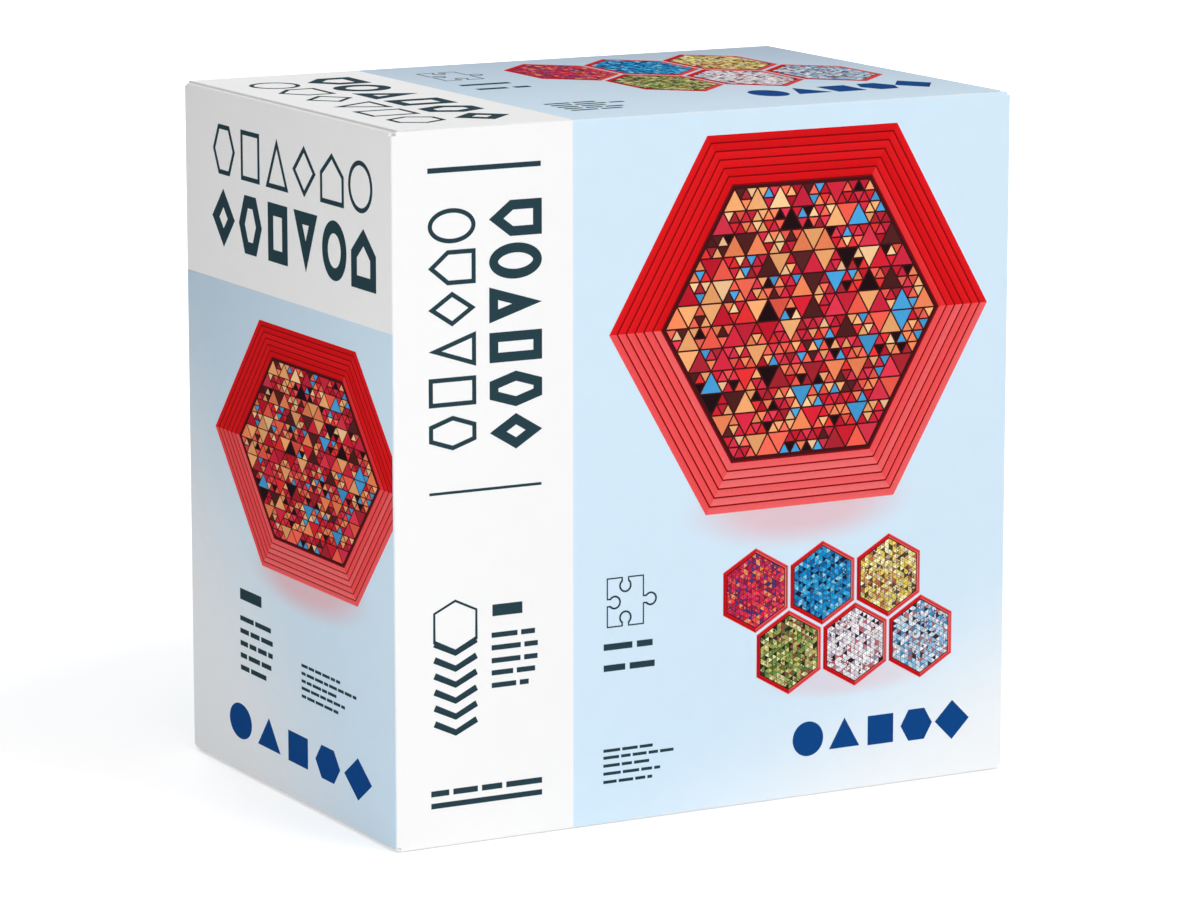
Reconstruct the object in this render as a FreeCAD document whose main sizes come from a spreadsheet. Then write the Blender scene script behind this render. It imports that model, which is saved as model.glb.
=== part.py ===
import FreeCAD, Part
import os

import Sketcher
from FreeCAD import Placement, Rotation, Vector

# A closed straight tuck-end folding carton of printed board, full and sealed.
# It is one folded and glued sheet round its contents, so it is one solid.
# Origin: middle of the underside. +X right along the front, +Y to the back, +Z up.
# The front panel is at -Y, the glued seam at the back right vertical edge.
# Both end closures hinge on the back panel and tuck in behind the front panel.

driving_sizes = (
    ("carton_width", 206.0, "outside width of the front panel"),
    ("carton_depth", 141.0, "outside depth of the side panels"),
    ("carton_height", 208.0, "outside height over both end panels"),
    ("board", 0.6, "thickness of the carton board"),
    ("fold_radius", 0.55, "outer radius of a creased fold"),
    ("seam_reveal", 0.9, "back panel's cut edge to the right side's face"),
    ("corner_relief", 1.5, "square relief cut where two creases would cross"),
    ("relief_drop", 0.25, "floor of a relief below the fold of the dust flap"),
    ("tuck_corner_inset", 2.5, "end panel's tuck corner to the side's face"),
    ("tuck_corner_radius", 1.0, "rounding of the end panel's tuck corners"),
    ("tuck_gap", 0.25, "front panel's inner face to the tuck flap"),
    ("tuck_groove_depth", 2.0, "open depth of that gap below the dust flaps"),
    ("lock_slit_length", 7.0, "slit lock at each end of the tuck crease"),
    ("lock_slit_setback", 0.3, "slit lock's cut edge behind the crease"),
    ("front_edge_drop", 0.25, "front panel's cut edge below the end panel"),
)

doc = FreeCAD.newDocument("folding_carton")


def make_sheet(rows):
    sheet = doc.addObject("Spreadsheet::Sheet", "sizes")
    for row, (alias, value, meaning) in enumerate(rows, start=1):
        sheet.set(f"A{row}", str(value))
        sheet.setAlias(f"A{row}", alias)
        sheet.set(f"B{row}", meaning)
    doc.recompute()
    return sheet


# A size from the sheet, or a sum of them: its number now and its expression.
class Size:
    def __init__(self, number, expression):
        self.number = number
        self.expression = expression

    def __add__(self, other):
        return Size(self.number + other.number, f"({self.expression} + {other.expression})")

    def __sub__(self, other):
        return Size(self.number - other.number, f"({self.expression} - {other.expression})")

    def __neg__(self):
        return Size(-self.number, f"(-1 * {self.expression})")

    def half(self):
        return Size(self.number / 2, f"({self.expression} / 2)")


sheet = make_sheet(driving_sizes)
size = {alias: Size(sheet.get(alias), f"sizes.{alias}") for alias, _, _ in driving_sizes}
nothing = Size(0.0, "0")

board = size["board"]
fold_radius = size["fold_radius"]
relief = size["corner_relief"]
corner_radius = size["tuck_corner_radius"]
side_face = size["carton_width"].half()
back_face = size["carton_depth"].half()
front_face = -back_face
top_face = size["carton_height"]
upper_dust_level = top_face - board
lower_dust_level = board
inner_front = front_face + board
tuck_edge = inner_front + size["tuck_gap"]
lock_edge = tuck_edge + size["lock_slit_setback"]
tuck_corner = side_face - size["tuck_corner_inset"]
tuck_end = tuck_corner - size["lock_slit_length"]


# A sketch level with the XY plane, lifted to a height.
def level_sketch(body, name, height):
    plane = next(item for item in body.Origin.OriginFeatures if item.Role == "XY_Plane")
    sketch = body.newObject("Sketcher::SketchObject", name)
    sketch.AttachmentSupport = [(plane, "")]
    sketch.MapMode = "FlatFace"
    sketch.setExpression("AttachmentOffset.Base.z", height.expression)
    return sketch


# A closed outline of straight edges, each corner held from the origin by two sizes.
def draw_outline(sketch, corners):
    first = sketch.GeometryCount
    count = len(corners)
    points = [Vector(x.number, y.number, 0) for x, y in corners]
    for index, point in enumerate(points):
        sketch.addGeometry(Part.LineSegment(point, points[(index + 1) % count]), False)
    for index, (x, y) in enumerate(corners):
        edge = first + index
        following = first + (index + 1) % count
        sketch.addConstraint(Sketcher.Constraint("Coincident", edge, 2, following, 1))
        for direction, place in (("DistanceX", x), ("DistanceY", y)):
            held = Sketcher.Constraint(direction, -1, 1, edge, 1, place.number)
            number = sketch.addConstraint(held)
            sketch.setExpression(f"Constraints[{number}]", place.expression)


def draw_rectangle(sketch, left, right, front, back):
    draw_outline(sketch, ((left, front), (right, front), (right, back), (left, back)))


# A pad or pocket of a sketch. Outward is +Z unless it is turned over.
def extrude(body, kind, name, sketch, length, downward=False):
    feature = body.newObject(f"PartDesign::{kind}", name)
    feature.Profile = sketch
    feature.setExpression("Length", length.expression)
    feature.Reversed = downward if kind == "Pad" else not downward
    doc.recompute()
    return feature


# Names of the edges whose ends all lie at the given places.
def edges_at(feature, places):
    found = []
    for number, edge in enumerate(feature.Shape.Edges, start=1):
        ends = [vertex.Point for vertex in edge.Vertexes]
        if any(
            all(abs(getattr(end, axis) - place.number) < 1e-6 for end in ends for axis, place in at.items())
            for at in places
        ):
            found.append(f"Edge{number}")
    return found


def round_edges(body, name, base, places, radius):
    fillet = body.newObject("PartDesign::Fillet", name)
    fillet.Base = (base, edges_at(base, places))
    fillet.setExpression("Radius", radius.expression)
    doc.recompute()
    return fillet


# The four wall panels in plan, with the right side's fold into the glue flap
# lying one board behind the back panel's cut edge.
def make_sleeve(body):
    seam_edge = side_face - size["seam_reveal"]
    glue_flap = back_face - board
    section = level_sketch(body, "sleeve_section", lower_dust_level)
    draw_outline(section, (
        (-side_face, front_face),
        (side_face, front_face),
        (side_face, glue_flap),
        (seam_edge, glue_flap),
        (seam_edge, back_face),
        (-side_face, back_face),
    ))
    sleeve = extrude(body, "Pad", "sleeve", section, upper_dust_level - lower_dust_level)
    wall_folds = (
        {"x": -side_face, "y": front_face},
        {"x": side_face, "y": front_face},
        {"x": side_face, "y": glue_flap},
        {"x": -side_face, "y": back_face},
    )
    return round_edges(body, "wall_folds", sleeve, wall_folds, fold_radius)


# Square cuts at the four corners of one end, where its creases would cross.
def cut_reliefs(body, end, dust_level, downward):
    sketch = level_sketch(body, f"{end}_relief_outline", dust_level)
    draw_rectangle(sketch, -side_face, relief - side_face, front_face, front_face + relief)
    draw_rectangle(sketch, side_face - relief, side_face, front_face, front_face + relief)
    draw_rectangle(sketch, -side_face, relief - side_face, back_face - relief, back_face)
    draw_rectangle(sketch, side_face - relief, side_face, back_face - relief, back_face)
    return extrude(body, "Pocket", f"{end}_reliefs", sketch, fold_radius + size["relief_drop"], downward)


# The end panel: hinged along the back, tapered to its tuck corners, with a slit
# lock beside each corner, where the crease gives way to a cut edge.
panel_right_half = (
    (side_face - relief, back_face),
    (side_face - relief, back_face - relief),
    (tuck_corner, lock_edge),
    (tuck_end, lock_edge),
    (tuck_end, tuck_edge),
)

# The gap that the tuck flap leaves behind the front panel.
groove_right_half = (
    (tuck_end, tuck_edge),
    (tuck_end, lock_edge),
    (tuck_corner - corner_radius, lock_edge),
    (tuck_corner - corner_radius, inner_front),
)


# A closed outline from its right half, which runs from the middle plane round to it.
def mirror_halves(right_half):
    return right_half + tuple((-x, y) for x, y in reversed(right_half))


# One closure: dust flap creases at the sides, the front panel's cut edge, and the
# end panel lying over the dust flaps with a crease at its hinge and its tuck.
def close_end(body, end, base, dust_level, outer_face, downward):
    side_creases = ({"x": -side_face, "z": dust_level}, {"x": side_face, "z": dust_level})
    creased = round_edges(body, f"{end}_dust_creases", base, side_creases, fold_radius)

    edge_sketch = level_sketch(body, f"{end}_front_edge_outline", dust_level)
    draw_rectangle(edge_sketch, relief - side_face, side_face - relief, front_face, inner_front)
    extrude(body, "Pad", f"{end}_front_edge", edge_sketch, board - size["front_edge_drop"], downward)

    panel_sketch = level_sketch(body, f"{end}_panel_outline", dust_level)
    draw_outline(panel_sketch, mirror_halves(panel_right_half))
    panel = extrude(body, "Pad", f"{end}_panel", panel_sketch, board, downward)
    tuck_corners = ({"x": -tuck_corner, "y": lock_edge}, {"x": tuck_corner, "y": lock_edge})
    round_edges(body, f"{end}_tuck_corners", panel, tuck_corners, corner_radius)

    groove_sketch = level_sketch(body, f"{end}_tuck_groove_outline", dust_level)
    draw_outline(groove_sketch, mirror_halves(groove_right_half))
    depth = size["tuck_groove_depth"]
    grooved = extrude(body, "Pocket", f"{end}_tuck_groove", groove_sketch, depth, not downward)

    panel_creases = ({"y": back_face, "z": outer_face}, {"y": tuck_edge, "z": outer_face})
    return round_edges(body, f"{end}_panel_creases", grooved, panel_creases, fold_radius)


def make_carton():
    body = doc.addObject("PartDesign::Body", "carton")
    body.Label = "carton"
    body.Placement = Placement(Vector(0, 0, 0), Rotation())
    walls = make_sleeve(body)
    full = walls.Shape.Volume
    cut_reliefs(body, "top", upper_dust_level, downward=True)
    relieved = cut_reliefs(body, "base", lower_dust_level, downward=False)
    removed = full - relieved.Shape.Volume
    most = 8 * relief.number ** 2 * (fold_radius + size["relief_drop"]).number
    if not 0.5 * most < removed <= most:
        raise RuntimeError(f"the corner reliefs took {removed:.2f} mm3 of {most:.2f}")
    top = close_end(body, "top", relieved, upper_dust_level, top_face, downward=False)
    base = close_end(body, "base", top, lower_dust_level, nothing, downward=True)
    body.Tip = base
    doc.recompute()
    return body


def check_document():
    for item in doc.Objects:
        if "Invalid" in item.State or "Error" in item.State:
            raise RuntimeError(f"{item.Name} failed: {item.State}")


def write_step(part):
    shape = part.Shape
    if shape.isNull() or not shape.isValid() or len(shape.Solids) != 1:
        raise RuntimeError(f"{part.Label} is not one valid solid")
    shape.exportStep(f"parts/{part.Label}.step")
    bounds = shape.BoundBox
    print(
        f"{part.Label}: {bounds.XLength:.2f} x {bounds.YLength:.2f} x {bounds.ZLength:.2f} mm,",
        f"{len(shape.Faces)} faces, {shape.Volume / 1000:.1f} cm3",
    )


carton = make_carton()
check_document()
os.makedirs("parts", exist_ok=True)
write_step(carton)
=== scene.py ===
import math
import random

import bmesh
import bpy
from mathutils import Matrix, Vector


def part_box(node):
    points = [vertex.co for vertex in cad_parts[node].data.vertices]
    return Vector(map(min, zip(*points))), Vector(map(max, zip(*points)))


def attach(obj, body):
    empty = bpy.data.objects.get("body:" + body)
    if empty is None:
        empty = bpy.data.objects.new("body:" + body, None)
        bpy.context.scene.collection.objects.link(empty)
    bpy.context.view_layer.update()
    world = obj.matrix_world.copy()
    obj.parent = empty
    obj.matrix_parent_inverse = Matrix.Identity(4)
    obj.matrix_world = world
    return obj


# A closed retail carton of folding board with an offset print under a satin varnish.
# The print is laid out flat in millimetres on each panel: x to the right and y down
# from the panel's upper left corner, as someone who faces the panel sees it.

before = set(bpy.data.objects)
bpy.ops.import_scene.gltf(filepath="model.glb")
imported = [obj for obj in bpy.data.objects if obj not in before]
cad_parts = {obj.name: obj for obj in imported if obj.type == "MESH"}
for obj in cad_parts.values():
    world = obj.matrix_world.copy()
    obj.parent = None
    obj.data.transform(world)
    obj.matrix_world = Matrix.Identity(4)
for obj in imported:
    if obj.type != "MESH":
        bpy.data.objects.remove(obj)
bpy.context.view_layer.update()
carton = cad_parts["carton"]
low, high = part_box("carton")
mm = 0.001
cartonWidth, cartonDepth, cartonHeight = (high - low) / mm
rootThree = math.sqrt(3)
scene = bpy.context.scene

# Upper left corner, direction to the right and direction up of each printed panel.
panels = {
    "front": ((low.x, low.y, high.z), (1, 0, 0), (0, 0, 1)),
    "back": ((high.x, high.y, high.z), (-1, 0, 0), (0, 0, 1)),
    "left": ((low.x, high.y, high.z), (0, -1, 0), (0, 0, 1)),
    "right": ((high.x, low.y, high.z), (0, 1, 0), (0, 0, 1)),
    "top": ((low.x, high.y, high.z), (1, 0, 0), (0, 1, 0)),
}

# Printed shapes are thin closed films: their foot lies in the board and their face just
# proud of it. A ground lies under the shapes that are printed over it. Corners that are
# nearer than the weld become one.
film = {"foot": 0.02, "ground": 0.03, "ink": 0.05, "weld": 0.001}


# A node with its settings and inputs. An input is a number, a colour or what links to it: a
# socket, or a node whose first output is meant. A list gives all the links of one input.
def addNode(tree, kind, inputs=(), **settings):
    node = tree.nodes.new(kind)
    for name, value in settings.items():
        setattr(node, name, value)
    for key, given in inputs.items() if isinstance(inputs, dict) else enumerate(inputs):
        for value in given if isinstance(given, list) else [given]:
            if isinstance(value, bpy.types.Node):
                value = value.outputs[0]
            if isinstance(value, bpy.types.NodeSocket):
                tree.links.new(value, node.inputs[key])
            else:
                node.inputs[key].default_value = value
    return node


def toLinear(hexColour):
    channels = [int(hexColour[start:start + 2], 16) / 255 for start in (1, 3, 5)]
    linear = [c / 12.92 if c <= 0.04045 else ((c + 0.055) / 1.055) ** 2.4 for c in channels]
    return (*linear, 1.0)


def newMaterial(name):
    material = bpy.data.materials.new(name)
    material.use_nodes = True
    material.node_tree.nodes.clear()
    return material, material.node_tree


# A point's place on the carton in millimetres, for patterns of a real size.
def placeInMm(tree):
    place = addNode(tree, "ShaderNodeTexCoord").outputs["Object"]
    return addNode(tree, "ShaderNodeVectorMath", {0: place, "Scale": 1 / mm}, operation="SCALE")


# The printed surface with its look's gloss. The grain also gives a slight bump.
def addSurface(tree, look, colour, roughness, grain):
    strength, height = look["bump"]
    bump = addNode(tree, "ShaderNodeBump", {"Strength": strength, "Distance": height * mm, "Height": grain})
    surface = addNode(tree, "ShaderNodeBsdfPrincipled", {
        "Base Color": colour, "Roughness": roughness, "Normal": bump, "IOR": look["ior"],
        "Specular IOR Level": look["specular"],
    })
    addNode(tree, "ShaderNodeOutputMaterial", [surface])


noiseSpan = (0.3, 0.7)           # where most values of a noise lie

# Folding boxboard, coated white, offset printed and varnished all over. The varnish gives a
# soft even sheen, and the coating's fibres a faint grain. Near every edge the coating is pale,
# partly stretched at the folds and partly a painted highlight along the edges, and a cut edge
# shows the unprinted board. The blue has painted shade towards the back of the sides and ends.
boardLook = {
    "white": "#fafafa",
    "blue": "#d5ecfc",
    "faded": "#f8fbfd",
    # Painted shade: a darker blue laid towards the upper back of the sides and the back right of the ends.
    "paintedShade": "#a9bccf",
    "glow": "#ef9f9f",
    "core": "#f8f8f7",
    "mottleShade": "#000000",
    "stripWidth": 57.7,          # white strip on the front, back and ends
    "sideWhite": 57.5,           # white band over the sides, from the top
    "fold": 0.28,                # where the print of one panel meets the next, in from the edge
    # Weights of the way across and the way down, where the change starts and ends, and the
    # share of the other colour there.
    "frontFade": (0.378, 0.890, 200.0, 257.0, 0.0, 1.0),
    "sideFade": (-0.720, 0.690, 33.0, 123.0, 0.0, 1.0),
    # The painted shade on the sides, and across and forward on the ends.
    "sidePaintedShade": (1.0, 1.1, 60.0, 210.0, 0.48, 0.0),
    "endPaintedShadeAcross": (0.7, 1.1), "endPaintedShadeForward": (1.0, 0.06),
    # Centre and radii of each glow, and its strength at the centre.
    "frontGlow": (134.0, 119.0, 44.0, 14.5, 0.55),
    "patchGlow": (151.0, 173.5, 35.0, 6.5, 0.28),
    "leftGlow": (84.0, 139.5, 45.0, 12.5, 0.6),
    "glowCore": 0.35,            # share of the radii that has the full strength
    # Pale coating beside every edge, partly stretched coating at the folds and partly a painted highlight
    # along the edges: from the edge, width, raggedness and paleness.
    "creaseStart": 0.45, "creaseWidth": 0.9, "creaseRagged": 0.9, "creasePaleAndHighlight": 0.35,
    # A cut edge faces along an axis by more than this, and lies this far inside.
    "cutFacing": 0.7, "cutInside": 0.2, "cutRoughness": 0.85,
    "varnish": (0.50, 0.58),     # roughness from grain to grain
    "ior": 1.46, "specular": 0.2,
    "fibre": (1.1, 5.0),         # size and detail of fibre bundles, drawn coarse enough to show
    "mottle": (9.0, 4.0, 0.015), # size, detail and strength
    "bump": (0.05, 0.05),        # strength and height
}


def makeBoard():
    look = boardLook
    material, tree = newMaterial("varnished_folding_boxboard")
    inMm = placeInMm(tree)
    x, y, z = addNode(tree, "ShaderNodeSeparateXYZ", [inMm]).outputs
    halfWidth, halfDepth, halfHeight = cartonWidth / 2, cartonDepth / 2, cartonHeight / 2

    # Which panel a point is on.
    fromMiddle = addNode(tree, "ShaderNodeMath", [z, halfHeight], operation="SUBTRACT")
    acrossX, acrossY, acrossZ = (
        addNode(tree, "ShaderNodeMath", [value], operation="ABSOLUTE") for value in (x, y, fromMiddle)
    )
    onSide, onEnd, onBack, onLeft, onFront = (
        addNode(tree, "ShaderNodeMath", [value, limit], operation=test) for value, limit, test in (
            (acrossX, halfWidth - look["fold"], "GREATER_THAN"),
            (acrossZ, halfHeight - look["fold"], "GREATER_THAN"),
            (y, halfDepth - look["fold"], "GREATER_THAN"),
            (x, look["fold"] - halfWidth, "LESS_THAN"),
            (y, look["fold"] - halfDepth, "LESS_THAN"),
        )
    )

    # Flat coordinates from the panel's upper left corner.
    flat = []
    for value, turned, half in ((x, onBack, halfWidth), (y, onLeft, halfDepth)):
        sign = addNode(tree, "ShaderNodeMath", [turned, -2.0, 1.0], operation="MULTIPLY_ADD")
        flat.append(addNode(tree, "ShaderNodeMath", [value, sign, half], operation="MULTIPLY_ADD"))
    facing, along = flat
    down = addNode(tree, "ShaderNodeMath", [cartonHeight, z], operation="SUBTRACT")
    forward = addNode(tree, "ShaderNodeMath", [halfDepth, y], operation="SUBTRACT")

    # The white fields.
    strip = addNode(tree, "ShaderNodeMath", [facing, look["stripWidth"]], operation="LESS_THAN")
    band = addNode(tree, "ShaderNodeMath", [down, look["sideWhite"]], operation="LESS_THAN")
    isWhite = addNode(tree, "ShaderNodeMix", {0: onSide, 2: strip, 3: band})

    # The blue field fades towards one lower corner of each upright panel, and has painted shade
    # towards the upper back of a side, a darker blue laid over it.
    ramps = []
    for across, key, kind in (
        (facing, "frontFade", "SMOOTHSTEP"),
        (along, "sideFade", "SMOOTHSTEP"),
        (along, "sidePaintedShade", "LINEAR"),
    ):
        right, below, *span = look[key]
        part = addNode(tree, "ShaderNodeMath", [across, right], operation="MULTIPLY")
        whole = addNode(tree, "ShaderNodeMath", [down, below, part], operation="MULTIPLY_ADD")
        ramps.append(addNode(tree, "ShaderNodeMapRange", [whole, *span], interpolation_type=kind))
    frontFade, sideFade, sidePaintedShadeShare = ramps
    fade = addNode(tree, "ShaderNodeMix", {0: onSide, 2: frontFade, 3: sideFade})

    # On the ends the painted shade darkens it towards the back right.
    rightSpan = [facing, look["stripWidth"], cartonWidth, *look["endPaintedShadeAcross"]]
    frontSpan = [forward, 0.0, cartonDepth, *look["endPaintedShadeForward"]]
    endParts = [addNode(tree, "ShaderNodeMapRange", span) for span in (rightSpan, frontSpan)]
    endPaintedShadeShare = addNode(tree, "ShaderNodeMath", endParts, operation="MULTIPLY")
    onSidePaintedShadeShare = addNode(tree, "ShaderNodeMath", [sidePaintedShadeShare, onSide], operation="MULTIPLY")
    paintedShadeShare = addNode(tree, "ShaderNodeMix", {0: onEnd, 2: onSidePaintedShadeShare, 3: endPaintedShadeShare})
    layers = [(paintedShadeShare, "paintedShade"), (fade, "faded")]

    # A soft glow under the picture on the front and on the left, and under the small mosaics.
    glows = ((facing, onFront, "frontGlow"), (facing, onFront, "patchGlow"), (along, onLeft, "leftGlow"))
    for horizontal, onPanel, key in glows:
        centreX, centreY, radiusX, radiusY, most = look[key]
        parts = []
        for value, centre, radius in ((horizontal, centreX, radiusX), (down, centreY, radiusY)):
            off = addNode(tree, "ShaderNodeMath", [value, centre], operation="SUBTRACT")
            parts.append(addNode(tree, "ShaderNodeMath", [off, radius], operation="DIVIDE"))
        offset = addNode(tree, "ShaderNodeCombineXYZ", parts)
        distance = addNode(tree, "ShaderNodeVectorMath", [offset], operation="LENGTH").outputs["Value"]
        share = addNode(
            tree, "ShaderNodeMapRange", [distance, look["glowCore"], 1.0, most, 0.0],
            interpolation_type="SMOOTHSTEP",
        )
        layers.append((addNode(tree, "ShaderNodeMath", [share, onPanel], operation="MULTIPLY"), "glow"))

    # Faint mottling of the ink on the board's grain.
    size, detail, strength = look["mottle"]
    mottleNoise = addNode(tree, "ShaderNodeTexNoise", {"Vector": inMm, "Scale": 1 / size, "Detail": detail})
    mottled = addNode(tree, "ShaderNodeMapRange", [mottleNoise, *noiseSpan, strength, 0.0])

    # Distance to the nearest edge: the middle one of the distances to the carton's planes.
    gaps = [
        addNode(tree, "ShaderNodeMath", [half, across], operation="SUBTRACT")
        for half, across in ((halfWidth, acrossX), (halfDepth, acrossY), (halfHeight, acrossZ))
    ]
    lesser = addNode(tree, "ShaderNodeMath", gaps[:2], operation="MINIMUM")
    greater = addNode(tree, "ShaderNodeMath", gaps[:2], operation="MAXIMUM")
    capped = addNode(tree, "ShaderNodeMath", [greater, gaps[2]], operation="MINIMUM")
    toEdge = addNode(tree, "ShaderNodeMath", [lesser, capped], operation="MAXIMUM")
    size, detail = look["fibre"]
    fibreNoise = addNode(tree, "ShaderNodeTexNoise", {"Vector": inMm, "Scale": 1 / size, "Detail": detail})
    # Paleness near every edge: stretched coating, and a painted highlight along the edges.
    ragged = [fibreNoise, look["creaseRagged"], toEdge]
    fromEdge = addNode(tree, "ShaderNodeMath", ragged, operation="MULTIPLY_ADD")
    creaseEnd = look["creaseStart"] + look["creaseWidth"]
    creaseWearAndHighlight = addNode(
        tree, "ShaderNodeMapRange", [fromEdge, look["creaseStart"], creaseEnd, look["creasePaleAndHighlight"], 0.0],
        interpolation_type="SMOOTHSTEP",
    )

    # Cut edges face across or along the carton but lie inside its outer planes.
    normal = addNode(tree, "ShaderNodeNewGeometry").outputs["True Normal"]
    normalParts = addNode(tree, "ShaderNodeSeparateXYZ", [normal]).outputs
    cuts = []
    for part, gap in ((normalParts[0], gaps[0]), (normalParts[2], gaps[2])):
        lean = addNode(tree, "ShaderNodeMath", [part], operation="ABSOLUTE")
        faces = addNode(tree, "ShaderNodeMath", [lean, look["cutFacing"]], operation="GREATER_THAN")
        inside = addNode(tree, "ShaderNodeMath", [gap, look["cutInside"]], operation="GREATER_THAN")
        cuts.append(addNode(tree, "ShaderNodeMath", [faces, inside], operation="MULTIPLY"))
    isCut = addNode(tree, "ShaderNodeMath", cuts, operation="MAXIMUM")

    # Each layer of colour lies over the ones before it, by its share.
    layers += [(isWhite, "white"), (mottled, "mottleShade"), (creaseWearAndHighlight, "white"), (isCut, "core")]
    colour = toLinear(look["blue"])
    for share, key in layers:
        mixed = {0: share, 6: colour, 7: toLinear(look[key])}
        colour = addNode(tree, "ShaderNodeMix", mixed, data_type="RGBA").outputs[2]

    varnish = addNode(tree, "ShaderNodeMapRange", [fibreNoise, *noiseSpan, *look["varnish"]])
    roughness = addNode(tree, "ShaderNodeMix", {0: isCut, 2: varnish, 3: look["cutRoughness"]})
    addSurface(tree, look, colour, roughness, fibreNoise)
    return material


# An offset ink. It soaks into the coating and dries duller than the bare varnished board, so
# it stays dark at a low angle. With several colours, each tile takes one of them by its own
# random value, its tone varies a little, and a shaded one is darker on one side.
inkLook = {
    "varnish": (0.80, 0.88), "ior": 1.46, "specular": 0.02, "bump": (0.05, 0.05),
    "grain": (1.1, 4.0),         # size and detail
    "palest": 0.94,              # strength where the ink lies thin on the grain
    "toneSpread": 0.16, "shaded": 0.88,
}


def makeInk(name, colours):
    look = inkLook
    material, tree = newMaterial(name)
    size, detail = look["grain"]
    noise = {"Vector": placeInMm(tree), "Scale": 1 / size, "Detail": detail}
    grain = addNode(tree, "ShaderNodeTexNoise", noise)
    strength = addNode(tree, "ShaderNodeMapRange", [grain, *noiseSpan, look["palest"], 1.0])
    first, *others = [toLinear(colour) for colour in colours.split()]
    ink = first[:3]
    if others:
        tile = addNode(tree, "ShaderNodeAttribute", attribute_name="tile").outputs["Fac"]
        ink = addNode(tree, "ShaderNodeValToRGB", [tile])
        ramp = ink.color_ramp
        ramp.interpolation = "CONSTANT"
        ramp.elements[0].color = first
        for number, colour in enumerate(others, 1):
            ramp.elements.new(number / (len(others) + 1)).color = colour
        ramp.elements.remove(ramp.elements[-1])
        toneSpan = (1 - look["toneSpread"], 1 + look["toneSpread"])
        for attribute, span in (("tone", toneSpan), ("shade", (1.0, look["shaded"]))):
            value = addNode(tree, "ShaderNodeAttribute", attribute_name=attribute).outputs["Fac"]
            part = addNode(tree, "ShaderNodeMapRange", [value, 0.0, 1.0, *span])
            strength = addNode(tree, "ShaderNodeMath", [strength, part], operation="MULTIPLY")
    colour = addNode(tree, "ShaderNodeVectorMath", {0: ink, "Scale": strength}, operation="SCALE")
    roughness = addNode(tree, "ShaderNodeMapRange", [grain, *noiseSpan, *look["varnish"]])
    addSurface(tree, look, colour, roughness, grain)
    return material


inks = {
    "teal": makeInk("dark_teal_offset_ink", "#2b434c"),
    "navy": makeInk("navy_offset_ink", "#12488a"),
    "rim": makeInk("red_facet_offset_inks", "#e2171c #ea1c21 #f33438 #fa5659 #fc6668 #fd7273"),
    "rimGround": makeInk("deep_red_offset_ink", "#8e0c14"),
    "tileGround": makeInk("dark_brown_offset_ink", "#44181b"),
}
mosaicColours = {
    "warm": (
        "#e22638 #f4aa70 #221216 #e63850 #f9cc98 #48a2dc #c41c2e #f4885a #542424 #ec3434 #f9b478 "
        "#ac2834 #fb6c56 #d82a44 #d0283e #ee5c4a"
    ),
    "pink": "#e2345a #f0584c #902644 #d23a6e #f29864 #523c7a #fa4054 #c2284c",
    "blue": "#109ee0 #0882c8 #3cbaee #0e2646 #1094d8 #8ad6f2 #086cb2 #22ace6",
    "yellow": "#f2e064 #daac62 #fbf5c4 #544840 #f6d65a #bc6a50 #faf2b4 #ccbea0",
    "green": "#8aaa4a #54783a #d0c870 #925646 #24322e #b8b06c #729850 #e8e4b0",
    "lilac": "#f9f7f9 #e8e0ea #a898ac #f6f2f6 #2c2630 #f4ecf2 #fafafa #c86870 #dfd6e2 #f8f6f8",
    "sky": "#8ccaee #c4dcec #4a90c4 #f4f6f8 #38384c #a4bcdc #dcecf6 #c07078 #e8f0f6 #9cc4e4",
}
for hue, palette in mosaicColours.items():
    inks[hue] = makeInk(f"{hue}_mosaic_offset_inks", palette)
print("materials made")


# The start of a Geometry Nodes tree with named inputs. Each has a depth and an ink.
def newTree(name, **inputs):
    tree = bpy.data.node_groups.new(name, "GeometryNodeTree")
    tree.interface.new_socket("Geometry", in_out="OUTPUT", socket_type="NodeSocketGeometry")
    for label, kind in {"Geometry": "Geometry", **inputs, "Depth": "Float", "Ink": "Material"}.items():
        label = label.replace("_", " ")
        tree.interface.new_socket(label, in_out="INPUT", socket_type="NodeSocket" + kind)
    return tree, addNode(tree, "NodeGroupInput").outputs


# Flat faces become a closed film of the given depth.
def makeFilm(tree, faces, given):
    lift = addNode(tree, "ShaderNodeCombineXYZ", [0.0, 0.0, given["Depth"]])
    raised = addNode(tree, "GeometryNodeExtrudeMesh", {"Mesh": faces, "Offset": lift, "Individual": False})
    foot = addNode(tree, "GeometryNodeFlipFaces", [faces])
    both = addNode(tree, "GeometryNodeJoinGeometry", [[raised, foot]])
    return addNode(tree, "GeometryNodeMergeByDistance", {"Geometry": both, "Distance": film["weld"]})


def finishTree(tree, geometry, given):
    realized = addNode(tree, "GeometryNodeRealizeInstances", [geometry])
    inked = addNode(tree, "GeometryNodeSetMaterial", {"Geometry": realized, "Material": given["Ink"]})
    addNode(tree, "NodeGroupOutput", [inked])
    return tree


# Filled outlines. One that lies inside another is a hole in it.
def makeSolidTree():
    tree, given = newTree("solid_print")
    curves = addNode(tree, "GeometryNodeMeshToCurve", [given["Geometry"]])
    filled = addNode(tree, "GeometryNodeFillCurve", [curves], mode="NGONS")
    return finishTree(tree, makeFilm(tree, filled, given), given)


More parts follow.
